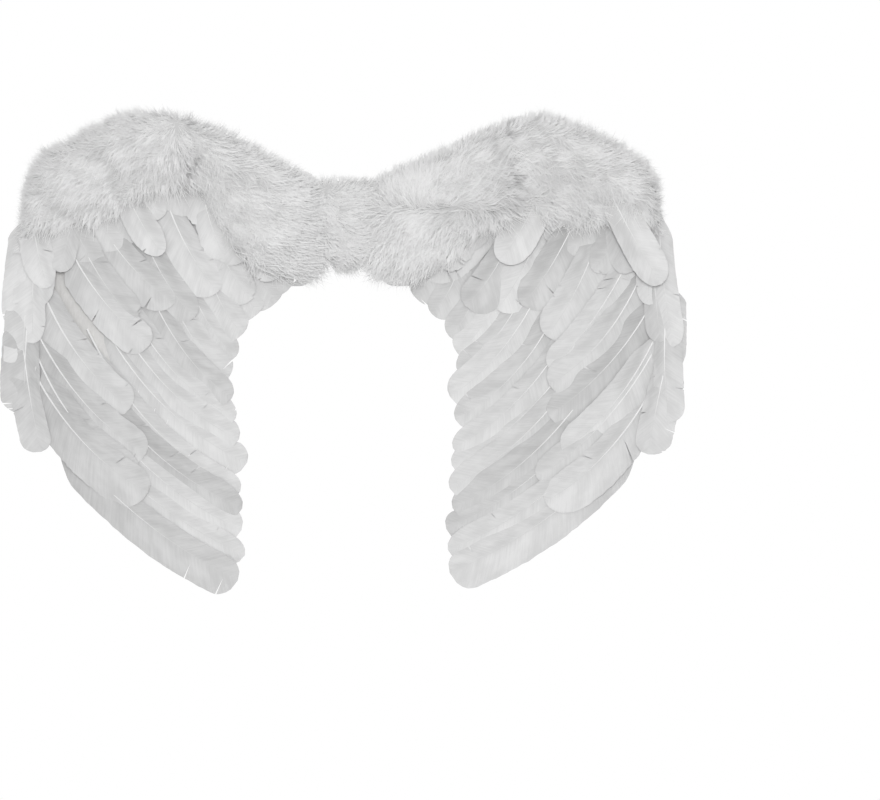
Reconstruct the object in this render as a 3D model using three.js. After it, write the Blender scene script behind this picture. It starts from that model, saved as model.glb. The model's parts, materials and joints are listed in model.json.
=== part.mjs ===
// Feathered costume wings: two mirrored wings on wire frames, joined by a soft centre bridge
// that carries a back pad and two elastic arm loops.
// Millimetres, +Z up, +X towards the wearer's right. The pad's rear face lies on Y = 0,
// the wearer stands on the +Y side and the feathers face -Y.

import * as THREE from 'three';

// Overall sizes
const wingSpan = 650; // tip to tip, across both wings
const wingHeight = 460; // crown of the down trim to the lowest feather tip

// Clearances
const layerGap = 0.3; // between glued layers
const hingeGap = 1; // from the fold line to the pieces on either side
const sewingMargin = 1.5; // beside each strap end

// Back pad and arm loops
const padWidth = 40;
const padHeight = 58;
const padThickness = 8;
const strapWidth = 15;
const strapThickness = 1.2;
const loopRadius = 55;
const loopReach = 45; // from the sewn ends to the middle of the ring
const loopStart = 12; // from the sewn ends to where the band stands clear of the cover
const loopRestAngle = 30; // degrees away from straight back
const tabLength = 16;
const tabHeight = 23; // middle of a strap end, above or below the pad's middle

// Sheets and wire
const feltThickness = 1.2;
const cardThickness = 1.2;
const wireDiameter = 3;
const wireSpacing = 44; // between the two wires of the bridge
const bridgeHeight = 66;

// Feathers and down
const featherThickness = 0.8;
const featherWidth = 38;
const quillWidth = 2.4;
const bareQuill = 0.07; // shares of a feather's length
const fullVane = 0.26;
const shortRowThickness = 1.2;
const scallopDepth = 7;
const trimDepth = 22;
const bridgeTrimDepth = 24;
const bridgeTrimHeight = 84;
const bridgeTrimDrop = 3; // its middle hangs this far below the pad's
const trimRounding = 7;

// Sizes that follow from those above
const tabX = padWidth / 2 + sewingMargin + strapWidth / 2;
const hingeX = tabX + strapWidth / 2 + sewingMargin + hingeGap;
const wingWidth = wingSpan / 2 - hingeX;

// Each layer's distance in front of the pad's rear face
const coverAt = padThickness + layerGap;
const wireMiddle = coverAt + feltThickness + layerGap + wireDiameter / 2;
const cardAt = wireMiddle + wireDiameter / 2 + layerGap;
const flightAt = cardAt + cardThickness + layerGap;
const featherPitch = featherThickness + layerGap;
const covertAt = flightAt + 3 * featherPitch;
const shortRowAt = covertAt + 2 * featherPitch;
const trimAt = shortRowAt + shortRowThickness + layerGap;
const tabAt = padThickness - strapThickness;
const loopHingeAt = padThickness - strapThickness / 2;

const colours = {
  feather: { color: 0xe9e9e8, roughness: 0.62, metalness: 0 },
  covert: { color: 0xdededd, roughness: 0.62, metalness: 0 },
  down: { color: 0xf2f2f1, roughness: 0.95, metalness: 0 },
  felt: { color: 0xe6e5e2, roughness: 0.95, metalness: 0 },
  card: { color: 0xdcdad4, roughness: 0.85, metalness: 0 },
  wire: { color: 0xf0efea, roughness: 0.5, metalness: 0.1 },
  pad: { color: 0xeeeeec, roughness: 0.9, metalness: 0 },
  elastic: { color: 0xf4f4f2, roughness: 0.75, metalness: 0 },
};

// Everything is drawn in the panel's own frame: x to the right, y up, z from the wearer's
// back towards the feathers. This group turns that frame upright.
const wings = new THREE.Group();
wings.rotation.x = Math.PI / 2;

function addPiece(parent, name, geometry, colour) {
  const mesh = new THREE.Mesh(geometry, new THREE.MeshStandardMaterial(colours[colour]));
  mesh.name = name;
  parent.add(mesh);
  return mesh;
}

function sheet(outline, at, thickness) {
  const shape = new THREE.Shape(outline);
  const geometry = new THREE.ExtrudeGeometry(shape, { depth: thickness, bevelEnabled: false });
  return geometry.translate(0, 0, at);
}

// A soft body with rounded edges, whose outline is its largest section
function cushion(outline, at, depth, rounding) {
  const geometry = new THREE.ExtrudeGeometry(new THREE.Shape(outline), {
    depth: depth - 2 * rounding,
    bevelThickness: rounding,
    bevelSize: rounding,
    bevelOffset: -rounding,
    bevelSegments: 2,
  });
  return geometry.translate(0, 0, at + rounding);
}

// A point of a wing, from its shares of the wing's width, out from the fold, and height
function wingPoint(side, across, up) {
  return new THREE.Vector2(side * (hingeX + across * wingWidth), up * wingHeight);
}

function wingLine(side, shares) {
  return shares.map(([across, up]) => wingPoint(side, across, up));
}

function smooth(points, steps) {
  return new THREE.SplineCurve(points).getSpacedPoints(steps);
}

// A sheet's own corner beside the fold line. The deeper it lies in front of the wire, the
// further out it starts, so that the wing can fold back by 80 degrees.
function besideFold(side, at, thickness, height) {
  const depth = Math.max(hingeGap, at + thickness - wireMiddle);
  return new THREE.Vector2(side * (hingeX + depth), height);
}

// --- Wing outlines, as shares of the wing's width and height ---

const panelTop = [[0.16, 0.125], [0.32, 0.17], [0.53, 0.195], [0.7, 0.172], [0.86, 0.1],
  [0.925, -0.04]];
const panelOuter = [[0.93, -0.22], [0.88, -0.37], [0.77, -0.47]];
const panelInner = [[0.65, -0.41], [0.55, -0.3], [0.42, -0.19], [0.25, -0.1], [0.11, -0.075]];

function panelOutline(side, at, thickness) {
  const corner = besideFold(side, at, thickness, bridgeHeight / 2 - hingeGap);
  const lowCorner = besideFold(side, at, thickness, -corner.y);
  const edge = wingLine(side, [...panelTop, ...panelOuter, ...panelInner]);
  return smooth([corner, ...edge, lowCorner], 44);
}

const wireTop = [[0.17, 0.098], [0.33, 0.145], [0.53, 0.168], [0.68, 0.148], [0.82, 0.082],
  [0.885, -0.045]];
const wireOuter = [[0.89, -0.215], [0.845, -0.35], [0.765, -0.43]];
const wireInner = [[0.68, -0.38], [0.59, -0.27], [0.45, -0.155], [0.26, -0.068]];

function wingWire(side) {
  const start = new THREE.Vector2(side * (hingeX + wireDiameter / 2), wireSpacing / 2);
  const end = new THREE.Vector2(start.x, -start.y);
  const points = [start, ...wingLine(side, [...wireTop, ...wireOuter, ...wireInner]), end];
  return wire(points, 60);
}

function wire(points, steps) {
  const path = new THREE.CatmullRomCurve3(points.map((p) => new THREE.Vector3(p.x, p.y, wireMiddle)));
  const round = new THREE.EllipseCurve(0, 0, wireDiameter / 2, wireDiameter / 2).getPoints(8).slice(1);
  return new THREE.ExtrudeGeometry(new THREE.Shape(round), { steps, extrudePath: path });
}

// --- Long feathers ---

const flightRoots = [[0.13, 0.02], [0.28, 0.045], [0.42, 0.03], [0.54, -0.005], [0.62, -0.06], [0.68, -0.13],
  [0.715, -0.21], [0.74, -0.28], [0.775, -0.345], [0.825, -0.4], [0.87, -0.44]];
const flightTips = [[0.045, -0.122], [0.115, -0.165], [0.18, -0.207], [0.222, -0.257], [0.237, -0.312],
  [0.23, -0.372], [0.222, -0.437], [0.213, -0.505], [0.208, -0.575], [0.203, -0.65], [0.205, -0.738]];
const covertRoots = [[0.36, 0.1], [0.55, 0.115], [0.7, 0.09], [0.82, 0.03], [0.9, -0.06], [0.93, -0.18],
  [0.92, -0.3]];
const covertTips = [[0.33, -0.055], [0.46, -0.115], [0.54, -0.195], [0.59, -0.29], [0.58, -0.39], [0.55, -0.48],
  [0.52, -0.585]];

// Half the feather's width, from the bare quill through the vane to the round tip
function vaneHalf(along, length, width) {
  const tipStart = 1 - width / 2 / length;
  if (along > tipStart) {
    const past = (along - tipStart) / (1 - tipStart);
    return (width / 2) * Math.sqrt(Math.max(0, 1 - past * past));
  }
  const share = THREE.MathUtils.smoothstep(along, bareQuill, fullVane);
  return THREE.MathUtils.lerp(quillWidth / 2, width / 2, share);
}

// The quill drops steeply from the root, then the vane sweeps in towards the body
function featherOutline(root, tip, width) {
  const bend = new THREE.Vector2(
    THREE.MathUtils.lerp(root.x, tip.x, 0.34),
    THREE.MathUtils.lerp(root.y, tip.y, 0.62),
  );
  const spine = new THREE.QuadraticBezierCurve(root, bend, tip);
  const length = spine.getLength();
  const tipStart = 1 - width / 2 / length;
  const stations = [0, bareQuill];
  for (const step of [0.25, 0.5, 0.75, 1]) stations.push(THREE.MathUtils.lerp(bareQuill, fullVane, step));
  for (const step of [0.25, 0.5, 0.75, 1]) stations.push(THREE.MathUtils.lerp(fullVane, tipStart, step));
  for (const step of [0.35, 0.65, 0.87, 0.97]) stations.push(THREE.MathUtils.lerp(tipStart, 1, step));
  const edge = (sign) => stations.map((along) => {
    const middle = spine.getPointAt(along);
    const tangent = spine.getTangentAt(along);
    const half = sign * vaneHalf(along, length, width);
    return new THREE.Vector2(middle.x - tangent.y * half, middle.y + tangent.x * half);
  });
  return [...edge(1), tip, ...edge(-1).reverse()];
}

// A row of feathers that overlap like shingles, in turn on each of the row's layers
function featherRow(parent, wingName, rowName, side, row) {
  const roots = wingLine(side, row.roots);
  const tips = wingLine(side, row.tips);
  roots.forEach((root, index) => {
    const outline = featherOutline(root, tips[index], featherWidth);
    const at = row.at + (index % row.layers) * featherPitch;
    const name = `${wingName}_${rowName}_feather_${String(index + 1).padStart(2, '0')}`;
    addPiece(parent, name, sheet(outline, at, featherThickness), row.colour);
  });
}

// --- Short feathers under the down, one sheet with a scalloped lower edge ---

const shortTop = [[0.16, 0.105], [0.32, 0.16], [0.53, 0.19], [0.7, 0.174], [0.85, 0.125], [0.925, 0.06]];
const shortOuter = [[0.955, 0], [0.985, -0.09], [1, -0.22], [0.985, -0.355], [0.958, -0.43], [0.92, -0.475],
  [0.88, -0.478]];
const shortLower = [[0.86, -0.44], [0.84, -0.33], [0.8, -0.2], [0.72, -0.11], [0.56, -0.06], [0.38, -0.05],
  [0.2, -0.085], [0.09, -0.095]];

function scallops(line, side) {
  const curve = new THREE.SplineCurve(line);
  const count = Math.round(curve.getLength() / featherWidth);
  const pointsEach = 5;
  return Array.from({ length: count * pointsEach + 1 }, (unused, index) => {
    const along = index / (count * pointsEach);
    const out = scallopDepth * Math.abs(Math.sin(along * count * Math.PI));
    const tangent = curve.getTangentAt(along);
    const point = curve.getPointAt(along);
    return new THREE.Vector2(point.x + side * tangent.y * out, point.y - side * tangent.x * out);
  });
}

function shortFeathers(side) {
  const corner = besideFold(side, shortRowAt, shortRowThickness, bridgeHeight * 0.4);
  const lowCorner = besideFold(side, shortRowAt, shortRowThickness, -bridgeHeight * 0.4);
  const upper = smooth([corner, ...wingLine(side, [...shortTop, ...shortOuter])], 34);
  const lower = scallops([...wingLine(side, shortLower), lowCorner], -side);
  return sheet([...upper, ...lower], shortRowAt, shortRowThickness);
}

// --- Down trim ---

const trimTop = [[0.15, 0.148], [0.31, 0.205], [0.55, 0.235], [0.7, 0.217], [0.855, 0.172], [0.93, 0.1],
  [0.965, 0.02]];
const trimOuter = [[0.975, -0.05], [0.95, -0.085]];
const trimLower = [[0.88, 0], [0.8, 0.05], [0.66, 0.04], [0.5, 0.03], [0.38, 0], [0.28, -0.075], [0.16, -0.125],
  [0.06, -0.12]];

// Pulls a trim's front in towards the fold line, which leaves a groove where the down packs up
function slopeToFold(geometry, at, depth) {
  const position = geometry.attributes.position;
  for (let index = 0; index < position.count; index += 1) {
    const distance = Math.abs(Math.abs(position.getX(index)) - hingeX);
    const room = THREE.MathUtils.clamp((distance + wireMiddle - at) / depth, 0, 1);
    position.setZ(index, at + (position.getZ(index) - at) * room);
  }
  return geometry;
}

function wingTrim(side) {
  const corner = besideFold(side, trimAt, hingeGap, bridgeHeight / 2 + 12);
  const lowCorner = besideFold(side, trimAt, hingeGap, -bridgeHeight / 2 - 10);
  const upper = smooth([corner, ...wingLine(side, [...trimTop, ...trimOuter])], 26);
  const lower = smooth([...wingLine(side, trimLower), lowCorner], 20);
  return slopeToFold(cushion([...upper, ...lower], trimAt, trimDepth, trimRounding), trimAt, trimDepth);
}

function buildWing(side, wingName) {
  const wing = new THREE.Group();
  wings.add(wing);
  const cover = sheet(panelOutline(side, coverAt, feltThickness), coverAt, feltThickness);
  addPiece(wing, `${wingName}_back_cover`, cover, 'felt');
  addPiece(wing, `${wingName}_frame_wire`, wingWire(side), 'wire');
  const card = sheet(panelOutline(side, cardAt, cardThickness), cardAt, cardThickness);
  addPiece(wing, `${wingName}_backing_card`, card, 'card');
  const flight = { roots: flightRoots, tips: flightTips, at: flightAt, layers: 3, colour: 'feather' };
  featherRow(wing, wingName, 'flight', side, flight);
  const covert = { roots: covertRoots, tips: covertTips, at: covertAt, layers: 2, colour: 'covert' };
  featherRow(wing, wingName, 'covert', side, covert);
  addPiece(wing, `${wingName}_short_feathers`, shortFeathers(side), 'covert');
  addPiece(wing, `${wingName}_down_trim`, wingTrim(side), 'down');
}

// --- Centre bridge ---

function rectangle(width, height) {
  const corners = [[-1, -1], [1, -1], [1, 1], [-1, 1]];
  return new THREE.Shape(corners.map(([x, y]) => new THREE.Vector2((x * width) / 2, (y * height) / 2)));
}

function roundedRectangle(width, height, radius) {
  const shape = new THREE.Shape();
  const right = width / 2;
  const top = height / 2;
  shape.moveTo(-right + radius, -top);
  shape.absarc(right - radius, -top + radius, radius, -Math.PI / 2, 0);
  shape.absarc(right - radius, top - radius, radius, 0, Math.PI / 2);
  shape.absarc(-right + radius, top - radius, radius, Math.PI / 2, Math.PI);
  shape.absarc(-right + radius, -top + radius, radius, Math.PI, Math.PI * 1.5);
  return shape.getPoints(5);
}

function bridgeWire(height) {
  const end = hingeX - wireDiameter / 2;
  return wire([new THREE.Vector2(-end, height), new THREE.Vector2(end, height)], 1);
}

// A wedge-sided block, drawn as its cross-section and run from the top of the bridge down
function bridgeTrim() {
  const front = flightAt + bridgeTrimDepth;
  const foldWidth = hingeX - (flightAt + hingeGap - wireMiddle);
  const frontWidth = hingeX - (front - wireMiddle);
  const half = [[foldWidth, flightAt], [foldWidth, flightAt + hingeGap], [frontWidth, front]];
  const otherHalf = half.map(([x, z]) => [-x, z]).reverse();
  const section = [...half, ...otherHalf].map(([x, z]) => new THREE.Vector2(x, z));
  const body = sheet(section, 0, bridgeTrimHeight);
  return body.rotateX(Math.PI / 2).translate(0, bridgeTrimHeight / 2 - bridgeTrimDrop, 0);
}

function buildBridge() {
  const pad = cushion(roundedRectangle(padWidth, padHeight, 8), 0, padThickness, 1.5);
  addPiece(wings, 'back_pad', pad, 'pad');
  const coverWidth = 2 * (hingeX - hingeGap);
  const cover = sheet(roundedRectangle(coverWidth, bridgeHeight, 3), coverAt, feltThickness);
  addPiece(wings, 'bridge_cover', cover, 'felt');
  addPiece(wings, 'bridge_top_wire', bridgeWire(wireSpacing / 2), 'wire');
  addPiece(wings, 'bridge_bottom_wire', bridgeWire(-wireSpacing / 2), 'wire');
  const cardWidth = 2 * (hingeX - (cardAt + cardThickness - wireMiddle));
  const card = sheet(roundedRectangle(cardWidth, bridgeHeight, 3), cardAt, cardThickness);
  addPiece(wings, 'bridge_card', card, 'card');
  addPiece(wings, 'bridge_down_trim', bridgeTrim(), 'down');
}

// --- Arm loops ---

// The loop is a ring that runs from the upper sewn end round to the lower one. It is drawn
// in its own plane, x out from the panel and y up, and its band is wide across that plane.
function armLoop() {
  const start = Math.PI - Math.acos((loopReach - loopStart) / loopRadius);
  const path = new THREE.CatmullRomCurve3(
    new THREE.EllipseCurve(loopReach, 0, loopRadius, loopRadius, start, -start, true)
      .getPoints(40)
      .map((p) => new THREE.Vector3(p.x, p.y, 0)),
  );
  return new THREE.ExtrudeGeometry(rectangle(strapWidth, strapThickness), { steps: 40, extrudePath: path });
}

function buildStrap(side, name) {
  for (const [place, sign] of [['top', 1], ['bottom', -1]]) {
    const end = sheet(roundedRectangle(strapWidth, tabLength, 1), tabAt, strapThickness);
    end.translate(side * tabX, sign * tabHeight, 0);
    addPiece(wings, `${name}_${place}_end`, end, 'elastic');
  }
  const hinge = new THREE.Group();
  hinge.position.set(side * tabX, 0, loopHingeAt);
  hinge.rotation.y = Math.PI / 2 - side * THREE.MathUtils.degToRad(loopRestAngle);
  wings.add(hinge);
  addPiece(hinge, name, armLoop(), 'elastic');
}

buildBridge();
buildWing(-1, 'left');
buildWing(1, 'right');
buildStrap(-1, 'left_strap');
buildStrap(1, 'right_strap');

export default wings;
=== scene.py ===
import json
import math

import bmesh
import bpy
import numpy as np
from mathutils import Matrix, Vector, noise
from mathutils.geometry import delaunay_2d_cdt


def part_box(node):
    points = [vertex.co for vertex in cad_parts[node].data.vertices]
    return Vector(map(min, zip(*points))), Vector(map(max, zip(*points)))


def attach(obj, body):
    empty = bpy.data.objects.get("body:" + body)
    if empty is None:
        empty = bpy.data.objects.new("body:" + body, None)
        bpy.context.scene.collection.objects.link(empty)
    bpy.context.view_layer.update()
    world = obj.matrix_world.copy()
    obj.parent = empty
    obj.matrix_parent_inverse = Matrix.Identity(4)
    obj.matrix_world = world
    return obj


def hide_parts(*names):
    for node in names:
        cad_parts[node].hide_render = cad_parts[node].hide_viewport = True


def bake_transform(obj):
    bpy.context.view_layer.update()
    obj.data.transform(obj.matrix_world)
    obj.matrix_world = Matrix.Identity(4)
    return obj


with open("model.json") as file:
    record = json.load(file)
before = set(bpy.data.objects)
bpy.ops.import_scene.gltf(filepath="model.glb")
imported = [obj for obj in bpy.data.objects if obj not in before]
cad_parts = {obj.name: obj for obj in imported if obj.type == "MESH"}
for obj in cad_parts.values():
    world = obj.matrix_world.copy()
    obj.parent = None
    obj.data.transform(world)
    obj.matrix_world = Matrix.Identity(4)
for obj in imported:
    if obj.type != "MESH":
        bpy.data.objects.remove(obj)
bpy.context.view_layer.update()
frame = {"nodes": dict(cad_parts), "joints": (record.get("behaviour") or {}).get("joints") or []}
print("stage: frame loaded")

mm = 0.001
joints = {joint["name"]: joint for joint in frame["joints"]}
foldX = abs(joints["right_wing_fold"]["pos_m"][0])
foldY = joints["right_wing_fold"]["pos_m"][1]
loopX = abs(joints["right_loop_swing"]["pos_m"][0])
loopY = joints["right_loop_swing"]["pos_m"][1]
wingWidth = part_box("right_short_feathers")[1].x - foldX
wingHeight = 0.460
sides = {"left": -1, "right": 1}


class Flow:
    # wraps a socket, so that node maths is written as sums

    def __init__(self, tree, socket=None):
        self.tree = tree
        self.socket = socket

    def node(self, kind, settings=None, inputs=None, output=0):
        new = self.tree.nodes.new(kind)
        for name, value in (settings or {}).items():
            setattr(new, name, value)
        for name, value in (inputs or {}).items():
            if isinstance(value, Flow):
                self.tree.links.new(value.socket, new.inputs[name])
            else:
                new.inputs[name].default_value = value
        return Flow(self.tree, new.outputs[output] if new.outputs else None)

    def math(self, operation, first, second=0.0):
        return self.node("ShaderNodeMath", {"operation": operation}, {0: first, 1: second})

    def __add__(self, other):
        return self.math("ADD", self, other)

    def __sub__(self, other):
        return self.math("SUBTRACT", self, other)

    def __rsub__(self, other):
        return self.math("SUBTRACT", other, self)

    def __mul__(self, other):
        return self.math("MULTIPLY", self, other)

    def __abs__(self):
        return self.math("ABSOLUTE", self)

    def sine(self):
        return self.math("SINE", self)

    def between(self, low, high):
        # 0 below low, 1 above high, with a soft step
        return self.node(
            "ShaderNodeMapRange", {"interpolation_type": "SMOOTHSTEP"},
            {"Value": self, "From Min": low, "From Max": high},
        )

    def blendColour(self, dark, light):
        return self.node(
            "ShaderNodeMix", {"data_type": "RGBA"}, {"Factor": self, 6: dark, 7: light}, output=2
        )

    def noise(self, scale, detail=3.0, roughness=0.55, output=0):
        return self.node(
            "ShaderNodeTexNoise", None,
            {"Vector": self, "Scale": scale, "Detail": detail, "Roughness": roughness}, output,
        )

    def stretch(self, amounts):
        return self.node("ShaderNodeVectorMath", {"operation": "MULTIPLY"}, {0: self, 1: amounts})

    def part(self, axis):
        return self.node("ShaderNodeSeparateXYZ", None, {0: self}, output="xyz".index(axis))

    def place(self):
        return self.node("ShaderNodeTexCoord", output="Object")

    def vectorOf(self, name):
        return self.node("ShaderNodeAttribute", {"attribute_name": name}, output=1)

    def valueOf(self, name):
        return self.node("ShaderNodeAttribute", {"attribute_name": name}, output=2)

    def surface(self, inputs, height=None, strength=0.0, depth=0.0):
        # the shader of the whole material, with a bump where there is a height
        if height is not None:
            bump = {"Strength": strength, "Distance": depth, "Height": height}
            inputs = inputs | {"Normal": self.node("ShaderNodeBump", None, bump)}
        shader = self.node("ShaderNodeBsdfPrincipled", None, inputs)
        self.node("ShaderNodeOutputMaterial", None, {"Surface": shader})


def grey(value, warmth=0.0):
    return (value, value * (1 - warmth * 0.4), value * (1 - warmth), 1.0)


def newMaterial(name):
    material = bpy.data.materials.new(name)
    material.use_nodes = True
    material.node_tree.nodes.clear()
    return material, Flow(material.node_tree)


featherLook = {
    "dark": 0.40,
    "light": 0.75,
    "spread": 0.38,  # how much feathers differ
    "vane": 0.16,  # painted shade: how much paler the trailing vane is than the leading one, which the next feather shades
    "streaks": 0.34,  # how much the barbs differ
    "tip": 0.30,  # painted shade: how much paler the tip is than the root, which the layers above shade
    "roughness": 0.6,
    "sheen": 0.15,
    "bump": 0.22,
}


def featherMaterial():
    look = featherLook
    material, start = newMaterial("feather_vane")
    barb = start.vectorOf("barb")
    streaks = barb.stretch((0.55, 0.05, 40.0)).noise(1.0, 4.0)
    fine = barb.stretch((2.6, 0.16, 90.0)).noise(1.0, 2.0)
    clouds = barb.stretch((0.05, 0.07, 13.0)).noise(1.0, 2.0)
    # painted shade: the leading vane is painted darker, as if shaded by the feather over it
    trailing = barb.part("y").between(-6.0, 6.0)
    # painted shade: the vane is painted darker towards its root, where the layers above shade it
    alongShare = start.valueOf("share").between(0.15, 0.85)
    tone = (streaks * 0.3 + fine * 0.12 + clouds * 0.5).between(0.3, 0.62) * look["streaks"]
    tone = tone + barb.part("z") * look["spread"] + trailing * look["vane"] + alongShare * look["tip"]
    colour = (tone - 0.07).blendColour(grey(look["dark"]), grey(look["light"]))
    start.surface(
        {
            "Base Color": colour, "Roughness": look["roughness"], "Sheen Weight": look["sheen"],
            "Specular IOR Level": 0.35,
        },
        streaks * 0.6 + fine * 0.4, look["bump"], 0.0006,
    )
    return material


def quillMaterial():
    material, start = newMaterial("quill")
    grain = start.vectorOf("barb").stretch((0.25, 1.5, 9.0)).noise(1.0)
    tone = grain.between(0.3, 0.7) * 0.25 + (1.0 - start.valueOf("share").between(0.3, 0.9)) * 0.75
    colour = tone.blendColour(grey(0.56), grey(0.84))
    start.surface({"Base Color": colour, "Roughness": 0.34, "Specular IOR Level": 0.5})
    return material


def downMaterial():
    material, start = newMaterial("down")
    # painted shade: each barb is painted darker towards its root, deep among the others
    tone = start.valueOf("tip").between(0.0, 0.8) * 0.35 + start.valueOf("tone") * 0.65
    colour = tone.blendColour(grey(0.56), grey(0.90))
    start.surface(
        {"Base Color": colour, "Roughness": 0.95, "Sheen Weight": 0.2, "Specular IOR Level": 0.1}
    )
    return material


def feltMaterial():
    material, start = newMaterial("needled_felt")
    fibres = start.place().stretch((1.0, 1.0, 0.35)).noise(900.0, 5.0, 0.7)
    crossed = start.place().stretch((0.35, 1.0, 1.0)).noise(900.0, 5.0, 0.7)
    patches = start.place().noise(25.0)
    tone = (fibres * 0.35 + crossed * 0.35 + patches * 0.4).between(0.35, 0.75)
    colour = tone.blendColour(grey(0.66, 0.02), grey(0.80, 0.01))
    start.surface(
        {"Base Color": colour, "Roughness": 0.95, "Specular IOR Level": 0.1},
        fibres * 0.5 + crossed * 0.5, 0.6, 0.0006,
    )
    return material


def knitMaterial():
    material, start = newMaterial("brushed_knit")
    columns = (start.place().part("x") * 3600.0).sine()
    rows = (start.place().part("z") * 4200.0 + abs(columns) * 1.2).sine()
    loops = abs(columns) * 0.6 + abs(rows) * 0.4
    fuzz = start.place().noise(1200.0, 4.0)
    colour = (loops * 0.5 + fuzz * 0.5).between(0.2, 0.8).blendColour(grey(0.68), grey(0.82))
    start.surface(
        {"Base Color": colour, "Roughness": 0.9, "Sheen Weight": 0.3}, loops + fuzz * 0.4, 0.5, 0.0004
    )
    return material


def elasticMaterial():
    material, start = newMaterial("woven_elastic")
    weave = start.vectorOf("weave")
    along, across = weave.part("x"), weave.part("y")
    picks = abs((along * 3.4 + (across * 4.2).sine() * 0.7).sine())
    threads = abs((across * 2.1).sine()) * 0.55 + picks * 0.45
    wear = weave.stretch((0.08, 0.3, 1.0)).noise(1.0)
    colour = (threads * 0.6 + wear * 0.5).between(0.2, 0.95).blendColour(grey(0.62), grey(0.84))
    start.surface(
        {"Base Color": colour, "Roughness": 0.7, "Sheen Weight": 0.1}, threads, 0.7, 0.0004
    )
    return material


def threadMaterial():
    material, start = newMaterial("sewing_thread")
    twist = start.place().noise(2500.0, 2.0).between(0.3, 0.7)
    start.surface({"Base Color": twist.blendColour(grey(0.70), grey(0.86)), "Roughness": 0.5})
    return material


def cardMaterial():
    material, start = newMaterial("grey_board")
    fibres = start.place().stretch((1.0, 1.0, 0.3)).noise(500.0, 5.0, 0.7)
    tone = (fibres * 0.6 + start.place().noise(30.0, 2.0) * 0.4).between(0.3, 0.7)
    colour = tone.blendColour(grey(0.62, 0.03), grey(0.74, 0.02))
    start.surface({"Base Color": colour, "Roughness": 0.9}, fibres, 0.3, 0.0003)
    return material


def wireMaterial():
    material, start = newMaterial("paper_taped_wire")
    wraps = start.node(
        "ShaderNodeTexWave", {"bands_direction": "DIAGONAL", "wave_profile": "SAW"},
        {"Vector": start.place(), "Scale": 28.0, "Distortion": 0.6},
    )
    crinkle = start.place().noise(700.0, 4.0)
    tone = (wraps * 0.6 + crinkle * 0.5).between(0.2, 0.9)
    colour = tone.blendColour(grey(0.62, 0.02), grey(0.80, 0.01))
    start.surface({"Base Color": colour, "Roughness": 0.75}, wraps + crinkle * 0.5, 0.6, 0.0005)
    return material


finishes = {
    "feather": featherMaterial(),
    "quill": quillMaterial(),
    "down": downMaterial(),
    "felt": feltMaterial(),
    "knit": knitMaterial(),
    "elastic": elasticMaterial(),
    "thread": threadMaterial(),
    "card": cardMaterial(),
    "wire": wireMaterial(),
}
print("stage: materials made")


def newPiece(name, mesh):
    piece = bpy.data.objects.new(name, mesh)
    bpy.context.scene.collection.objects.link(piece)
    return piece


def newMesh(name, vertices, faces, *materials):
    mesh = bpy.data.meshes.new(name)
    mesh.from_pydata(vertices, [], faces)
    for material in materials:
        mesh.materials.append(material)
    return mesh


def outwards(mesh, smooth=True, crease=180):
    # turns the faces outwards and shades them smooth up to the crease's angle
    cleaner = bmesh.new()
    cleaner.from_mesh(mesh)
    bmesh.ops.recalc_face_normals(cleaner, faces=cleaner.faces)
    cleaner.to_mesh(mesh)
    cleaner.free()
    mesh.polygons.foreach_set("use_smooth", [smooth] * len(mesh.polygons))
    if crease < 180:
        mesh.set_sharp_from_angle(angle=math.radians(crease))
    return mesh


def shellFaces(faces, count):
    # a sheet's faces, those of its copy turned round, and a rim round every edge and split
    turned = [tuple(corner + count for corner in reversed(face)) for face in faces]
    edges = {(here, there) for face in faces for here, there in zip(face, face[1:] + face[:1])}
    rim = [
        (there, here, here + count, there + count)
        for here, there in edges if (there, here) not in edges
    ]
    return list(faces) + turned + rim


def ringFaces(rings, corners, closed=False):
    # quads between neighbouring rings, with both ends capped where the rings don't close
    faces = []
    for ring in range(rings if closed else rings - 1):
        here, onward = ring * corners, (ring + 1) % rings * corners
        for corner in range(corners):
            beside = (corner + 1) % corners
            faces.append((here + corner, here + beside, onward + beside, onward + corner))
    if not closed:
        faces.append(tuple(reversed(range(corners))))
        faces.append(tuple(range((rings - 1) * corners, rings * corners)))
    return faces


def writeValues(mesh, name, kind, values):
    field = "vector" if kind == "FLOAT_VECTOR" else "value"
    values = np.asarray(values, np.float32).ravel()
    mesh.attributes.new(name, kind, "POINT").data.foreach_set(field, values)


def frozenMesh(piece):
    # what the modifiers make, as a plain mesh
    depsgraph = bpy.context.evaluated_depsgraph_get()
    return bpy.data.meshes.new_from_object(piece.evaluated_get(depsgraph), depsgraph=depsgraph)


def meshPlaces(piece):
    places = np.zeros(len(piece.data.vertices) * 3, np.float32)
    piece.data.vertices.foreach_get("co", places)
    return places.reshape(-1, 3).astype(float)


def spot(side, across, up):
    # shares of the wing's width and height, as x and z in metres
    return np.array([side * (foldX + across * wingWidth), up * wingHeight])


def smoothLine(points, count):
    # evenly spaced points on a smooth curve through the given ones
    points = np.asarray(points, float)
    padded = np.vstack([2 * points[0] - points[1], points, 2 * points[-1] - points[-2]])
    fine = []
    for index in range(1, len(padded) - 2):
        before, here, there, after = padded[index - 1:index + 3]
        for step in np.linspace(0, 1, 24, endpoint=False):
            fine.append(
                0.5 * (2 * here + (there - before) * step
                       + (2 * before - 5 * here + 4 * there - after) * step ** 2
                       + (3 * here - before - 3 * there + after) * step ** 3)
            )
    fine.append(points[-1])
    fine = np.array(fine)
    lengths = np.concatenate([[0], np.cumsum(np.linalg.norm(np.diff(fine, axis=0), axis=1))])
    wanted = np.linspace(0, lengths[-1], count)
    return np.stack([np.interp(wanted, lengths, fine[:, axis]) for axis in range(2)], axis=1)


def wingLine(side, shares, count):
    return smoothLine([spot(side, across, up) for across, up in shares], count)


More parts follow.
